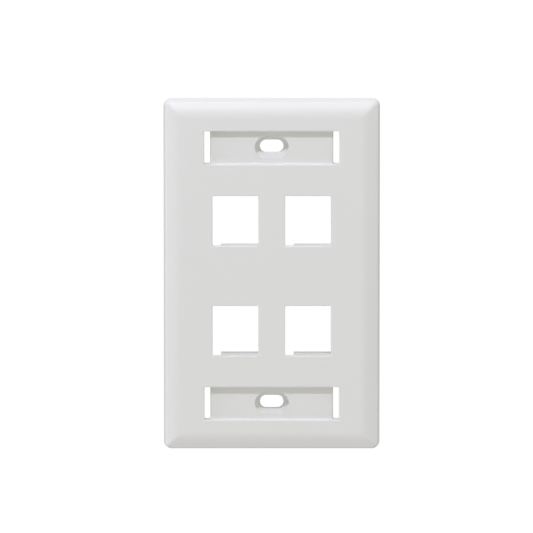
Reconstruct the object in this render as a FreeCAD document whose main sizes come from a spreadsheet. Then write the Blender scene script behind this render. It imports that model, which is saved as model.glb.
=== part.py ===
import FreeCAD, Part

# Keystone faceplate: a single-gang wall plate with four keystone ports in two columns and two rows,
# moulded in one piece.
#
# Frame: millimetres, +Z up, the face towards -Y, the wall in the plane Y = 0 and the origin in the
# middle of that plane. "Forward" is a distance in front of the wall, "depth" one behind the face.

import math
import os
import re

import Sketcher
from FreeCAD import Placement, Rotation, Vector

LABEL = "faceplate"

# name, millimetres or degrees, what it is
DIMENSIONS = [
    ("plate_width", 69.85, "single-gang plate, 2 3/4 in"),
    ("plate_height", 114.3, "single-gang plate, 4 1/2 in"),
    ("plate_depth", 6.4, "face to wall"),
    ("corner_radius", 2.4, "plate corners, seen from the front"),
    ("side_draft", 7.5, "degrees that the side walls lean in"),
    ("blend_radius", 8.0, "broad curve from the face into the bevel"),
    ("bevel_angle", 25.0, "degrees that the bevel leans back from the face"),
    ("bevel_reach", 6.1, "side wall to the start of that curve"),
    ("mitre_radius", 2.0, "rounding of the bevel's four mitres"),
    ("edge_radius", 1.0, "rounding of the bevel into the side walls"),
    ("panel_thickness", 1.8, "front panel"),
    ("rim_thickness", 2.0, "side walls"),
    ("inner_radius", 2.0, "corners of the hollow behind the panel"),
    ("inner_chamfer", 1.4, "back of the panel into the side walls, under the bevel"),
    ("screw_spacing", 83.34, "box screws, 3 9/32 in"),
    ("label_width", 43.5, "label recess, with the clip slots at its ends"),
    ("label_height", 10.75, "label recess"),
    ("label_depth", 1.8, "face to the recess floor"),
    ("label_edge_radius", 0.35, "rounded rim of the recess"),
    ("label_floor_radius", 0.5, "floor of the recess into its long walls"),
    ("clip_slot_width", 1.9, "slot for a label window's clip, at each end of the floor"),
    ("floor_end_radius", 0.5, "floor of the recess into each clip slot"),
    ("tray_floor", 1.4, "thickness of the recess floor"),
    ("tray_wall", 1.3, "walls behind the panel round the recess"),
    ("tray_depth", 4.8, "face to the back of those walls"),
    ("screw_slot_length", 7.6, "box screw slot, across the plate"),
    ("screw_slot_height", 4.05, "box screw slot"),
    ("screw_well_depth", 2.1, "straight-sided well that sinks the screw head"),
    ("countersink_flare", 1.7, "well and countersink beyond the slot, all round"),
    ("countersink_depth", 1.9, "countersink at the bottom of the well"),
    ("boss_wall", 1.3, "boss beyond the countersink"),
    ("boss_gap", 0.2, "wall to the back of the boss"),
    ("port_width", 14.8, "keystone opening"),
    ("port_height", 16.25, "keystone opening"),
    ("port_edge_radius", 0.3, "rounded rim of the opening"),
    ("column_pitch", 23.5, "between the two columns of ports"),
    ("row_pitch", 35.8, "between the two rows of ports"),
    ("cell_wall", 1.5, "walls of the cell behind each port"),
    ("cell_depth", 10.2, "face to the back of the cell"),
    ("lip_thickness", 2.0, "lips at the back of the cell"),
    ("lug_bar_depth", 6.4, "face to the back of the bar under the jack"),
    ("lug_pocket", 2.0, "room for the jack's fixed lug below the opening"),
    ("latch_bar_depth", 4.2, "face to the back of the bar above the jack"),
    ("latch_pocket", 4.0, "room for the jack's latch above the opening"),
    ("notch_width", 2.75, "gap at the left end of the lower bar"),
    ("upper_lip_drop", 0.9, "how far the upper row's lower lip lies below the opening"),
    ("rib_thickness", 1.2, "stiffening ribs"),
    ("rib_height", 1.5, "stiffening ribs, from the back of the panel"),
]
SIZE = {name: value for name, value, note in DIMENSIONS}


def make_sheet(doc):
    """A spreadsheet with one named cell for each driving dimension."""
    sheet = doc.addObject("Spreadsheet::Sheet", "Sizes")
    for row, (name, value, note) in enumerate(DIMENSIONS, start=1):
        sheet.set(f"A{row}", name)
        sheet.set(f"B{row}", str(value))
        sheet.setAlias(f"B{row}", name)
        sheet.set(f"C{row}", note)
    doc.recompute()


def sized(formula):
    """The formula with each dimension's name pointing at its cell in the sheet."""
    return re.sub(r"[a-z]+(_[a-z]+)+", lambda name: "Sizes." + name.group(0), formula)


# ---- sketches ------------------------------------------------------------------------------------


def origin_part(body, role):
    """The body's own origin plane or axis with this role."""
    return next(part for part in body.Origin.OriginFeatures if part.Role == role)


def new_sketch(body, name, plane="XZ_Plane", right="0", up="0", forward="0", turn=0):
    """A sketch on an origin plane, its own origin moved by three formulas and turned by degrees.

    On XZ_Plane the sketch is seen from the front: right is +X, up is +Z and forward is -Y.
    """
    sketch = body.newObject("Sketcher::SketchObject", name)
    sketch.AttachmentSupport = [(origin_part(body, plane), "")]
    sketch.MapMode = "FlatFace"
    sketch.AttachmentOffset = Placement(Vector(), Rotation(Vector(0, 0, 1), turn))
    for axis, formula in zip("xyz", (right, up, forward)):
        sketch.setExpression(f"AttachmentOffset.Base.{axis}", sized(formula))
    return sketch


def bind(sketch, name, formula, *constraint):
    """Add a constraint under a name and tie its value to a formula of the sheet."""
    index = sketch.addConstraint(Sketcher.Constraint(*constraint))
    sketch.renameConstraint(index, name)
    sketch.setExpression(f"Constraints.{name}", sized(formula))


def constrain(sketch, *constraints):
    """Add constraints that hold no size."""
    for constraint in constraints:
        sketch.addConstraint(Sketcher.Constraint(*constraint))


# how a constraint names a curve's points, and the sketch's own origin
START, END, CENTRE = range(1, 4)
ORIGIN = (-1, START)


def add_arc(sketch, centre, radius, start, turn):
    """An anticlockwise arc about a centre. Its start and its turn are in quarters of a circle."""
    quarter = math.pi / 2
    circle = Part.Circle(centre, Vector(0, 0, 1), radius)
    sketch.addGeometry(Part.ArcOfCircle(circle, start * quarter, (start + turn) * quarter), False)


def draw_rectangle(sketch, width, height):
    """A rectangle about the sketch's origin."""
    guess = [Vector(-5, -4), Vector(5, -4), Vector(5, 4), Vector(-5, 4)]
    for first, second in zip(guess, guess[1:] + guess[:1]):
        sketch.addGeometry(Part.LineSegment(first, second), False)
    for side in range(4):
        constrain(sketch, ("Coincident", side, END, (side + 1) % 4, START))
    constrain(sketch, ("Horizontal", 0), ("Vertical", 1), ("Horizontal", 2), ("Vertical", 3))
    constrain(sketch, ("Symmetric", 0, START, 1, END, *ORIGIN))
    bind(sketch, "width", width, "DistanceX", 0, START, 0, END, 10)
    bind(sketch, "height", height, "DistanceY", 1, START, 1, END, 8)


def draw_rounded_rectangle(sketch, width, height, radius):
    """A rectangle with round corners about the sketch's origin: a side and its corner, four times."""
    x, y, r = 5, 4, 1
    near_x, near_y = x - r, y - r
    sides = [
        (Vector(-near_x, -y), Vector(near_x, -y)),
        (Vector(x, -near_y), Vector(x, near_y)),
        (Vector(near_x, y), Vector(-near_x, y)),
        (Vector(-x, near_y), Vector(-x, -near_y)),
    ]
    corners = [(near_x, -near_y), (near_x, near_y), (-near_x, near_y), (-near_x, -near_y)]
    for quarter, (side, corner) in enumerate(zip(sides, corners), start=-1):
        sketch.addGeometry(Part.LineSegment(*side), False)
        add_arc(sketch, Vector(*corner), r, quarter, 1)
    for side in range(0, 8, 2):
        constrain(sketch, ("Tangent", side, END, side + 1, START))
        constrain(sketch, ("Tangent", side + 1, END, (side + 2) % 8, START))
    constrain(sketch, ("Horizontal", 0), ("Vertical", 2), ("Horizontal", 4), ("Vertical", 6))
    constrain(sketch, ("Equal", 1, 3), ("Equal", 3, 5), ("Equal", 5, 7))
    constrain(sketch, ("Symmetric", 0, START, 4, START, *ORIGIN))
    bind(sketch, "width", width, "DistanceX", 6, START, 2, START, 2 * x)
    bind(sketch, "height", height, "DistanceY", 0, START, 4, START, 2 * y)
    bind(sketch, "radius", radius, "Radius", 1, r)


def draw_slot(sketch, length, height):
    """A slot with round ends about the sketch's origin, its length along the sketch's X."""
    x, r = 2, 3
    sketch.addGeometry(Part.LineSegment(Vector(-x, -r), Vector(x, -r)), False)
    add_arc(sketch, Vector(x, 0), r, -1, 2)
    sketch.addGeometry(Part.LineSegment(Vector(x, r), Vector(-x, r)), False)
    add_arc(sketch, Vector(-x, 0), r, 1, 2)
    for side in range(4):
        constrain(sketch, ("Tangent", side, END, (side + 1) % 4, START))
    constrain(sketch, ("Horizontal", 0), ("Equal", 1, 3))
    constrain(sketch, ("Symmetric", 1, CENTRE, 3, CENTRE, *ORIGIN))
    bind(sketch, "between_centres", f"{length} - ({height})", "DistanceX", 3, CENTRE, 1, CENTRE, 2 * x)
    bind(sketch, "radius", f"({height}) / 2", "Radius", 1, r)


def draw_edge_profile(sketch):
    """What is cut away along one edge of the plate, in front of its bevel.

    The sketch's origin is where the face would meet the outermost side wall. Its X is depth and its Y
    points outwards. A broad curve blends the face into the bevel, which runs straight out of the wall.
    """
    radius, reach = SIZE["blend_radius"], SIZE["bevel_reach"]
    lean = math.radians(SIZE["bevel_angle"])
    outside = 2.0
    start = Vector(0, -reach)
    centre = start + Vector(radius, 0)
    bevel_start = centre + Vector(-math.cos(lean), math.sin(lean)) * radius
    bevel_end = Vector(bevel_start.x + (outside - bevel_start.y) * math.tan(lean), outside)
    circle = Part.Circle(centre, Vector(0, 0, 1), radius)
    sketch.addGeometry(Part.ArcOfCircle(circle, math.pi - lean, math.pi), False)
    corners = [bevel_start, bevel_end, Vector(-outside, outside), Vector(-outside, -reach), start]
    for first, second in zip(corners, corners[1:]):
        sketch.addGeometry(Part.LineSegment(first, second), False)
    constrain(sketch, ("Tangent", 0, START, 1, START), ("Coincident", 4, END, 0, END))
    for side in (1, 2, 3):
        constrain(sketch, ("Coincident", side, END, side + 1, START))
    constrain(sketch, ("Horizontal", 0, CENTRE, 0, END), ("PointOnObject", 0, END, -2))
    constrain(sketch, ("Horizontal", 2), ("Vertical", 3), ("Horizontal", 4))
    bind(sketch, "blend_radius", "blend_radius", "Radius", 0, radius)
    bind(sketch, "lean", "bevel_angle * 1 deg", "Angle", 0, lean)
    bind(sketch, "reach", "bevel_reach", "DistanceY", 0, END, *ORIGIN, reach)
    constrain(sketch, ("DistanceY", *ORIGIN, 1, END, outside), ("DistanceX", 2, END, *ORIGIN, outside))


# ---- features ------------------------------------------------------------------------------------


def add_feature(body, kind, name, **settings):
    """A PartDesign feature with its settings: text is a formula, anything else a plain value."""
    feature = body.newObject(f"PartDesign::{kind}", name)
    for key, value in settings.items():
        if isinstance(value, str) and key in ("Length", "TaperAngle", "Radius", "Size"):
            feature.setExpression(key, sized(value))
        else:
            setattr(feature, key, value)
    body.Document.recompute()
    return feature


def pad(body, name, sketch, length, **settings):
    """Add material from the sketch forward, or backward with Reversed."""
    return add_feature(body, "Pad", name, Profile=sketch, Length=length, **settings)


def pocket(body, name, sketch, length, **settings):
    """Cut from the sketch backward, or forward with Reversed, and check that something was cut."""
    before = body.Tip.Shape.Volume
    feature = add_feature(body, "Pocket", name, Profile=sketch, Length=length, **settings)
    if feature.Shape.Volume >= before:
        raise RuntimeError(f"{name} cuts nothing")
    return feature


def mirror(body, name, features, plane):
    """The features again on the other side of an origin plane."""
    mirrored = add_feature(body, "Mirrored", name, Originals=features)
    mirrored.MirrorPlane = (origin_part(body, plane), [""])
    body.Tip = mirrored
    body.Document.recompute()
    return mirrored


def edges_within(shape, low, high):
    """The names of the edges that lie in a box from one corner to the other."""
    slack = 0.02
    names = []
    for number, edge in enumerate(shape.Edges, start=1):
        box = edge.BoundBox
        inside = zip(low, (box.XMin, box.YMin, box.ZMin), (box.XMax, box.YMax, box.ZMax), high)
        if all(least - slack <= first and last <= most + slack for least, first, last, most in inside):
            names.append(f"Edge{number}")
    return names


def soften(body, name, kind, size, boxes):
    """Fillet or chamfer the edges that lie in the boxes."""
    base = body.Tip
    names = [edge for low, high in boxes for edge in edges_within(base.Shape, low, high)]
    dimension = "Radius" if kind == "Fillet" else "Size"
    return add_feature(body, kind, name, Base=(base, names), **{dimension: size})


# ---- the faceplate -------------------------------------------------------------------------------


def make_shell(body):
    """A drafted blank with a bevel on all four sides, mitred at the corners, and hollow behind."""
    outline = new_sketch(body, "PlateOutline")
    draw_rounded_rectangle(outline, "plate_width", "plate_height", "corner_radius")
    pad(body, "Blank", outline, "plate_depth", TaperAngle="-side_draft")

    top = new_sketch(body, "TopEdge", "YZ_Plane", right="-plate_depth", up="plate_height / 2")
    draw_edge_profile(top)
    across = "plate_width + 2 * corner_radius"
    top_bevel = pocket(body, "TopBevel", top, across, SideType="Symmetric")
    mirror(body, "BottomBevel", [top_bevel], "XY_Plane")

    left = new_sketch(body, "LeftEdge", "XY_Plane", right="-plate_width / 2", up="-plate_depth", turn=90)
    draw_edge_profile(left)
    along = "plate_height + 2 * corner_radius"
    left_bevel = pocket(body, "LeftBevel", left, along, SideType="Symmetric")
    mirror(body, "RightBevel", [left_bevel], "YZ_Plane")

    corner = SIZE["corner_radius"]
    mitre_end = bevel_depth(corner * (1 - math.sqrt(0.5)))
    soften(body, "Mitres", "Fillet", "mitre_radius", plate_corners(SIZE["bevel_reach"], mitre_end))
    soften(body, "OuterEdge", "Fillet", "edge_radius", around_plate(corner, bevel_depth(0)))

    inside = new_sketch(body, "InsideOutline")
    width = "plate_width - 2 * rim_thickness"
    height = "plate_height - 2 * rim_thickness"
    draw_rounded_rectangle(inside, width, height, "inner_radius")
    pocket(body, "Hollow", inside, "plate_depth - panel_thickness", Reversed=True)
    behind_panel = SIZE["panel_thickness"] - SIZE["plate_depth"]
    half_width = SIZE["plate_width"] / 2 - SIZE["rim_thickness"]
    half_height = SIZE["plate_height"] / 2 - SIZE["rim_thickness"]
    floor = (-half_width, behind_panel, -half_height), (half_width, behind_panel, half_height)
    soften(body, "InnerChamfer", "Chamfer", "inner_chamfer", [floor])


def bevel_depth(inwards):
    """How far behind the face the bevel lies, at a distance inwards from the outermost side wall."""
    lean, radius = math.radians(SIZE["bevel_angle"]), SIZE["blend_radius"]
    beyond_blend = SIZE["bevel_reach"] - radius * math.sin(lean) - inwards
    return radius * (1 - math.cos(lean)) + beyond_blend * math.tan(lean)


def around_plate(inwards, deepest):
    """A box along each edge of the plate, so far inwards and so far behind the face."""
    x, z, face = SIZE["plate_width"] / 2, SIZE["plate_height"] / 2, -SIZE["plate_depth"]
    back = face + deepest
    return [
        ((-x, face, -z), (inwards - x, back, z)),
        ((x - inwards, face, -z), (x, back, z)),
        ((-x, face, -z), (x, back, inwards - z)),
        ((-x, face, z - inwards), (x, back, z)),
    ]


def plate_corners(inwards, deepest):
    """A box at each corner of the plate, so far inwards and so far behind the face."""
    left, right, bottom, top = around_plate(inwards, deepest)
    return [
        (
            tuple(max(pair) for pair in zip(upright[0], level[0])),
            tuple(min(pair) for pair in zip(upright[1], level[1])),
        )
        for upright in (left, right)
        for level in (bottom, top)
    ]


def make_ribs(body):
    """Ribs behind each column and each row of ports, which the trays and the cells then interrupt."""
    behind_panel = "plate_depth - panel_thickness"
    column = new_sketch(body, "ColumnRibOutline", right="-column_pitch / 2", forward=behind_panel)
    draw_rectangle(column, "rib_thickness", "plate_height - rim_thickness")
    column_rib = pad(body, "LeftRib", column, "rib_height", Reversed=True)
    mirror(body, "RightRib", [column_rib], "YZ_Plane")

    row = new_sketch(body, "RowRibOutline", up="-row_pitch / 2", forward=behind_panel)
    draw_rectangle(row, "plate_width - rim_thickness", "rib_thickness")
    row_rib = pad(body, "LowerRib", row, "rib_height", Reversed=True)
    mirror(body, "UpperRib", [row_rib], "XY_Plane")


def make_trays(body):
    """A label recess round each box screw, with its clip slots, tray walls, boss and countersink."""
    centre = "screw_spacing / 2"
    behind_panel = "plate_depth - panel_thickness"
    floor = "plate_depth - label_depth"

    walls = new_sketch(body, "TrayOutline", up=centre, forward=behind_panel)
    draw_rectangle(walls, "label_width + 2 * tray_wall", "label_height + 2 * tray_wall")
    tray = pad(body, "Tray", walls, "tray_depth - panel_thickness", Reversed=True)

    under = new_sketch(body, "UnderFloorOutline", up=centre, forward=f"{floor} - tray_floor")
    draw_rectangle(under, "label_width - 2 * clip_slot_width - 2 * tray_wall", "label_height")
    under_floor = pocket(body, "UnderFloor", under, "plate_depth")

    rim = new_sketch(body, "BossOutline", up=centre, forward="boss_gap")
    boss_side = "2 * countersink_flare + 2 * boss_wall"
    draw_slot(rim, f"screw_slot_length + {boss_side}", f"screw_slot_height + {boss_side}")
    boss = pad(body, "Boss", rim, f"{floor} - boss_gap")

    recess_outline = new_sketch(body, "RecessOutline", up=centre, forward="plate_depth")
    draw_rectangle(recess_outline, "label_width", "label_height")
    recess = pocket(body, "Recess", recess_outline, "label_depth")

    slots = []
    for side, sign in (("Left", "-"), ("Right", "")):
        middle = f"{sign}(label_width - clip_slot_width) / 2"
        clip = new_sketch(body, f"{side}ClipOutline", right=middle, up=centre, forward=floor)
        draw_rectangle(clip, "clip_slot_width", "label_height")
        slots.append(pocket(body, f"{side}ClipSlot", clip, "plate_depth"))

    flare = "2 * countersink_flare"
    head_outline = f"screw_slot_length + {flare}", f"screw_slot_height + {flare}"
    sides = new_sketch(body, "ScrewWellOutline", up=centre, forward=floor)
    draw_slot(sides, *head_outline)
    well = pocket(body, "ScrewWell", sides, "screw_well_depth")

    cone = new_sketch(body, "CountersinkOutline", up=centre, forward=f"{floor} - screw_well_depth")
    draw_slot(cone, *head_outline)
    lean = "-atan(countersink_flare / countersink_depth)"
    countersink = pocket(body, "Countersink", cone, "countersink_depth", TaperAngle=lean)

    screw = new_sketch(body, "ScrewSlotOutline", up=centre, forward=floor)
    draw_slot(screw, "screw_slot_length", "screw_slot_height")
    screw_slot = pocket(body, "ScrewSlot", screw, "plate_depth")

    upper = [tray, under_floor, boss, recess, *slots, well, countersink, screw_slot]
    mirror(body, "LowerTray", upper, "XY_Plane")

    face = -SIZE["plate_depth"]
    floor_level = face + SIZE["label_depth"]
    half_width, half_height = SIZE["label_width"] / 2, SIZE["label_height"] / 2
    half_floor = half_width - SIZE["clip_slot_width"]
    ends, long_walls, rims = [], [], []
    for level in (-SIZE["screw_spacing"] / 2, SIZE["screw_spacing"] / 2):
        low, high = level - half_height, level + half_height
        rims.append(((-half_width, face, low), (half_width, face, high)))
        ends += [((x, floor_level, low), (x, floor_level, high)) for x in (-half_floor, half_floor)]
        for z in (low, high):
            long_walls.append(((-half_floor, floor_level, z), (half_floor, floor_level, z)))
    soften(body, "FloorEnds", "Fillet", "floor_end_radius", ends)
    soften(body, "FloorSides", "Fillet", "label_floor_radius", long_walls)
    soften(body, "RecessRims", "Fillet", "label_edge_radius", rims)


def make_ports(body):
    """Four keystone ports: an opening in the panel and a cell behind it that holds the jack.

    The jack's fixed lug sits in the pocket below the opening and its latch in the one above, each
    between a bar at the front and a lip at the back. The lower bar leaves a notch at its left end.
    """
    right, up = "-column_pitch / 2", "-row_pitch / 2"
    behind_panel = "plate_depth - panel_thickness"

    middle = f"{up} + (latch_pocket - lug_pocket) / 2"
    cell_outline = new_sketch(body, "CellOutline", right=right, up=middle, forward=behind_panel)
    cell_height = "port_height + lug_pocket + latch_pocket + 2 * cell_wall"
    draw_rectangle(cell_outline, "port_width + 2 * cell_wall", cell_height)
    cell = pad(body, "Cell", cell_outline, "cell_depth - panel_thickness", Reversed=True)

    opening = new_sketch(body, "OpeningOutline", right=right, up=up, forward="plate_depth")
    draw_rectangle(opening, "port_width", "port_height")
    port = pocket(body, "Opening", opening, "cell_depth")

    below = f"{up} - (port_height + lug_pocket) / 2"
    lug = new_sketch(body, "LugOutline", right=right, up=below, forward="plate_depth - lug_bar_depth")
    draw_rectangle(lug, "port_width", "lug_pocket")
    lug_room = pocket(body, "LugPocket", lug, "cell_depth - lip_thickness - lug_bar_depth")

    above = f"{up} + (port_height + latch_pocket) / 2"
    behind_bar = "plate_depth - latch_bar_depth"
    latch = new_sketch(body, "LatchOutline", right=right, up=above, forward=behind_bar)
    draw_rectangle(latch, "port_width", "latch_pocket")
    latch_room = pocket(body, "LatchPocket", latch, "cell_depth - lip_thickness - latch_bar_depth")

    left_end = f"{right} - (port_width - notch_width) / 2"
    gap = new_sketch(body, "NotchOutline", right=left_end, up=below, forward=behind_panel)
    draw_rectangle(gap, "notch_width", "lug_pocket")
    notch = pocket(body, "Notch", gap, "cell_depth - panel_thickness")

    repeat(body, "Ports", [cell, port, lug_room, latch_room, notch], both_ways=True)

    above_lip = "row_pitch / 2 - (port_height + upper_lip_drop) / 2"
    back = "plate_depth - cell_depth"
    drop = new_sketch(body, "LipDropOutline", right=right, up=above_lip, forward=back)
    draw_rectangle(drop, "port_width", "upper_lip_drop")
    lip = pocket(body, "LipDrop", drop, "lip_thickness", Reversed=True)
    repeat(body, "UpperLips", [lip], both_ways=False)

    x, z = SIZE["column_pitch"] / 2, SIZE["row_pitch"] / 2
    half_width, half_height = SIZE["port_width"] / 2, SIZE["port_height"] / 2
    face = -SIZE["plate_depth"]
    rims = [
        ((right - half_width, face, up - half_height), (right + half_width, face, up + half_height))
        for right in (-x, x)
        for up in (-z, z)
    ]
    soften(body, "PortRims", "Fillet", "port_edge_radius", rims)


def repeat(body, name, features, both_ways):
    """The features again in the other column, and with both_ways in the other row too."""
    pattern = body.newObject("PartDesign::LinearPattern", name)
    pattern.Originals = features
    pattern.Direction = (origin_part(body, "X_Axis"), [""])
    pattern.Occurrences = 2
    pattern.setExpression("Length", sized("column_pitch"))
    if both_ways:
        pattern.Direction2 = (origin_part(body, "Z_Axis"), [""])
        pattern.Occurrences2 = 2
        pattern.setExpression("Length2", sized("row_pitch"))
    body.Tip = pattern
    body.Document.recompute()


def check_document(doc):
    """Stop if any object failed to build."""
    for item in doc.Objects:
        if {"Invalid", "Error"} & set(item.State):
            raise RuntimeError(f"{item.Label} failed: {item.State}")


def main():
    """Build the faceplate and write it out."""
    doc = FreeCAD.newDocument("KeystoneFaceplate")
    make_sheet(doc)
    body = doc.addObject("PartDesign::Body", "Faceplate")
    body.Label = LABEL
    make_shell(body)
    make_ribs(body)
    make_trays(body)
    make_ports(body)
    doc.recompute()
    check_document(doc)
    shape = body.Shape
    if shape.isNull() or not shape.isValid() or len(shape.Solids) != 1:
        raise RuntimeError(f"{LABEL} isn't one valid solid")
    os.makedirs("parts", exist_ok=True)
    shape.exportStep(f"parts/{LABEL}.step")
    box = shape.BoundBox
    size = f"{box.XLength:.2f} x {box.YLength:.2f} x {box.ZLength:.2f} mm"
    print(f"{LABEL}: {size}, {shape.Volume:.0f} mm3")


main()
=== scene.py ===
import math

import bpy
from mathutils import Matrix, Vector


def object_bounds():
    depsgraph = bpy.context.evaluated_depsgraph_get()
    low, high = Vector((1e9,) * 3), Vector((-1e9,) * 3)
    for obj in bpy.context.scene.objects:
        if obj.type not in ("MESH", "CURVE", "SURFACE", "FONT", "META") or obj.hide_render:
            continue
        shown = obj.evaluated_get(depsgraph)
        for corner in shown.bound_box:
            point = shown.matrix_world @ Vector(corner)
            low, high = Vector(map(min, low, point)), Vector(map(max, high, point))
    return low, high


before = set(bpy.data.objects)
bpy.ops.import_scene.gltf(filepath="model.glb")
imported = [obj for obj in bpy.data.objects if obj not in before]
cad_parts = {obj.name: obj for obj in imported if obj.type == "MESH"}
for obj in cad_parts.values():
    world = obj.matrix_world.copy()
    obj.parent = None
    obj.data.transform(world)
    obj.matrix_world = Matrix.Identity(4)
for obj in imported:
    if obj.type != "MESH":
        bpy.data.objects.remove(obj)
cad_low, cad_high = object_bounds()


# ---- moulded plastic faceplate ---------------------------------------------------------------
# One injection moulding in white ABS. The panel, its rolled edge, the two label recesses and the
# four jack cells come out of one tool, so a single satin finish runs over all of it.

plastic = bpy.data.materials.new("moulded_white_plastic")
plastic.use_nodes = True
nodes = plastic.node_tree.nodes
links = plastic.node_tree.links
shader = nodes["Principled BSDF"]
shader.inputs["IOR"].default_value = 1.5

place = nodes.new("ShaderNodeTexCoord")

# The melt cools unevenly, which leaves the white a trace warmer in broad, soft clouds.
flow = nodes.new("ShaderNodeTexNoise")
flow.inputs["Scale"].default_value = 34
flow.inputs["Detail"].default_value = 2
white = nodes.new("ShaderNodeMix")
white.data_type = "RGBA"
white.inputs["A"].default_value = (0.796, 0.799, 0.803, 1)
white.inputs["B"].default_value = (0.804, 0.801, 0.796, 1)
links.new(place.outputs["Object"], flow.inputs["Vector"])
links.new(flow.outputs["Fac"], white.inputs["Factor"])
links.new(white.outputs["Result"], shader.inputs["Base Color"])

# Handling polishes the satin a little in some places.
polish = nodes.new("ShaderNodeTexNoise")
polish.inputs["Scale"].default_value = 90
polish.inputs["Detail"].default_value = 3
sheen = nodes.new("ShaderNodeMapRange")
sheen.inputs["To Min"].default_value = 0.36
sheen.inputs["To Max"].default_value = 0.44
links.new(place.outputs["Object"], polish.inputs["Vector"])
links.new(polish.outputs["Fac"], sheen.inputs["Value"])
links.new(sheen.outputs["Result"], shader.inputs["Roughness"])

# The steel of the mould is spark eroded, and its fine grain shows on every face.
grain = nodes.new("ShaderNodeTexNoise")
grain.inputs["Scale"].default_value = 3200
grain.inputs["Detail"].default_value = 2
relief = nodes.new("ShaderNodeBump")
relief.inputs["Strength"].default_value = 0.25
relief.inputs["Distance"].default_value = 0.00001
links.new(place.outputs["Object"], grain.inputs["Vector"])
links.new(grain.outputs["Fac"], relief.inputs["Height"])
links.new(relief.outputs["Normal"], shader.inputs["Normal"])

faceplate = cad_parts["faceplate"]
for slot in faceplate.material_slots:
    slot.material = plastic


# ---- floor -----------------------------------------------------------------------------------
# A broad sheet of white paper that glows evenly, far below the plate so that low views are clear
# of it. It takes no shadow, and its own light doesn't reach the plate.

floor_drop = 1.6
floor_size = 12
# a little over full white, so that the sheet and the room behind it show no edge between them
backdrop_white = 1.02

bpy.ops.mesh.primitive_plane_add(size=floor_size, location=(0, 0, cad_low.z - floor_drop))
floor = bpy.context.object
floor.name = "studio_floor"
floor.visible_diffuse = False
floor.visible_glossy = False
floor.visible_shadow = False
paper = bpy.data.materials.new("lit_white_paper")
paper.use_nodes = True
paper_shader = paper.node_tree.nodes["Principled BSDF"]
paper_shader.inputs["Base Color"].default_value = (0, 0, 0, 1)
paper_shader.inputs["Specular IOR Level"].default_value = 0
paper_shader.inputs["Roughness"].default_value = 1
paper_shader.inputs["Emission Color"].default_value = (1, 1, 1, 1)
paper_shader.inputs["Emission Strength"].default_value = backdrop_white
floor.data.materials.append(paper)


# ---- room ------------------------------------------------------------------------------------
# A white room: a bright sweep behind the plate, dimmer and warmer walls in front of it, and a
# pale ceiling that adds its light to both. The camera sees it as white as the floor.

# half the width of the fade from one side of the room to the other, for directions of length 1
fade = 0.05

room = bpy.data.worlds.new("white_room")
bpy.context.scene.world = room
room.use_nodes = True
room_nodes = room.node_tree.nodes
room_links = room.node_tree.links
direction = room_nodes.new("ShaderNodeTexCoord")
split = room_nodes.new("ShaderNodeSeparateXYZ")
room_links.new(direction.outputs["Generated"], split.inputs["Vector"])


def fade_across(axis):
    """A ramp from 0 to 1 across the middle of the room, along an axis."""
    ramp = room_nodes.new("ShaderNodeMapRange")
    ramp.inputs["From Min"].default_value = -fade
    ramp.inputs["From Max"].default_value = fade
    room_links.new(split.outputs[axis], ramp.inputs["Value"])
    return ramp


behind = fade_across("Y")
walls = room_nodes.new("ShaderNodeMix")
walls.data_type = "RGBA"
walls.inputs["A"].default_value = (0.328, 0.322, 0.258, 1)
walls.inputs["B"].default_value = (0.54, 0.545, 0.51, 1)
room_links.new(behind.outputs["Result"], walls.inputs["Factor"])

above = fade_across("Z")
ceiling = room_nodes.new("ShaderNodeMix")
ceiling.data_type = "RGBA"
ceiling.blend_type = "ADD"
ceiling.inputs["B"].default_value = (0.165, 0.148, 0.142, 1)
room_links.new(above.outputs["Result"], ceiling.inputs["Factor"])
room_links.new(walls.outputs["Result"], ceiling.inputs["A"])

fill = room_nodes["Background"]
room_links.new(ceiling.outputs["Result"], fill.inputs["Color"])
backdrop = room_nodes.new("ShaderNodeBackground")
backdrop.inputs["Color"].default_value = (1, 1, 1, 1)
backdrop.inputs["Strength"].default_value = backdrop_white
seen = room_nodes.new("ShaderNodeLightPath")
choose = room_nodes.new("ShaderNodeMixShader")
room_links.new(seen.outputs["Is Camera Ray"], choose.inputs["Fac"])
room_links.new(fill.outputs["Background"], choose.inputs[1])
room_links.new(backdrop.outputs["Background"], choose.inputs[2])
room_links.new(choose.outputs["Shader"], room_nodes["World Output"].inputs["Surface"])


# ---- lamps -----------------------------------------------------------------------------------
# One small lamp high in front of the plate draws the crisp shadows. Seven soft panels round the
# plate shape its rolled edge and open up the shaded walls.

lamp_distance = 1.1
key_size = 0.06
panel_size = 0.45


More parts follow.
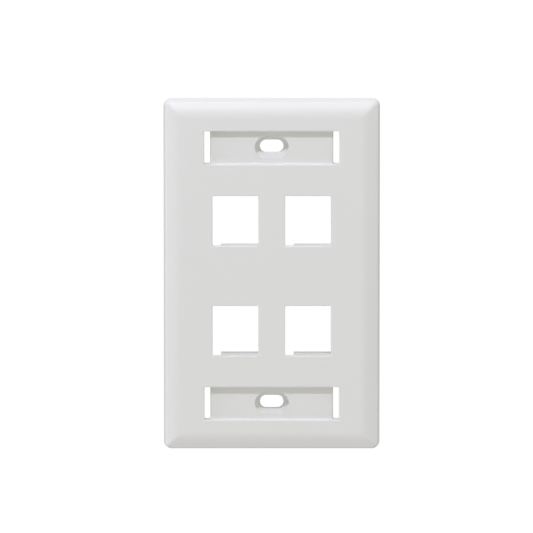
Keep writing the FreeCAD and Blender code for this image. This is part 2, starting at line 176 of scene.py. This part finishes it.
def hang_lamp(name, turn, rise, size, watts, colour):
    """A square lamp that faces the plate, turned right of its front and raised, in degrees."""
    turn, rise = math.radians(turn), math.radians(rise)
    outwards = Vector((
        math.sin(turn) * math.cos(rise),
        -math.cos(turn) * math.cos(rise),
        math.sin(rise),
    ))
    bpy.ops.object.light_add(type="AREA", location=outwards * lamp_distance)
    lamp = bpy.context.object
    lamp.name = name
    lamp.data.shape = "SQUARE"
    lamp.data.size = size
    lamp.data.energy = watts
    lamp.data.color = colour
    lamp.rotation_mode = "QUATERNION"
    lamp.rotation_quaternion = (-outwards).to_track_quat("-Z", "Y")


hang_lamp("key_lamp", turn=-12, rise=53.4, size=key_size, watts=5.3, colour=(0.842, 0.87, 1))
hang_lamp("top_panel", turn=0, rise=85, size=panel_size, watts=0.74, colour=(1, 0.87, 0.745))
hang_lamp("upper_left_panel", turn=-70, rise=45, size=panel_size, watts=2.2, colour=(0.545, 0.591, 1))
hang_lamp("left_panel", turn=-80, rise=-10, size=panel_size, watts=2.45, colour=(1, 1, 0.98))
hang_lamp("right_panel", turn=80, rise=-10, size=panel_size, watts=0.9, colour=(0.389, 0.444, 1))
hang_lamp("upper_right_panel", turn=70, rise=15, size=panel_size, watts=1.08, colour=(0.972, 1, 0.741))
hang_lamp("front_panel", turn=0, rise=-20, size=panel_size, watts=1.03, colour=(0.947, 1, 0.99))
hang_lamp("lower_panel", turn=0, rise=-60, size=panel_size, watts=1.96, colour=(0.842, 0.811, 1))


# ---- camera ----------------------------------------------------------------------------------
# A long lens a little above the plate and almost square to it. It aims just left of the middle
# of the face and above it, so the plate sits a little right of the view's middle and below it.

camera_rise = math.radians(8)
camera_distance = 2.9
aim_left = 0.00168
aim_up = 0.00311
focal_length = 607
sensor_width = 36
view_limit = 20
towards = Vector((0, math.cos(camera_rise), -math.sin(camera_rise)))
upwards = Vector((0, math.sin(camera_rise), math.cos(camera_rise)))
middle = (cad_low + cad_high) / 2
middle.y = cad_low.y
aim = middle + Vector((-aim_left, 0, 0)) + upwards * aim_up
lens = bpy.data.cameras.new("long_lens")
lens.sensor_width = sensor_width
lens.lens = focal_length
lens.clip_end = view_limit
camera = bpy.data.objects.new("camera", lens)
bpy.context.scene.collection.objects.link(camera)
camera.location = aim - towards * camera_distance
camera.rotation_mode = "QUATERNION"
camera.rotation_quaternion = towards.to_track_quat("-Z", "Y")
bpy.context.scene.camera = camera

bpy.context.scene.view_settings.view_transform = "Standard"
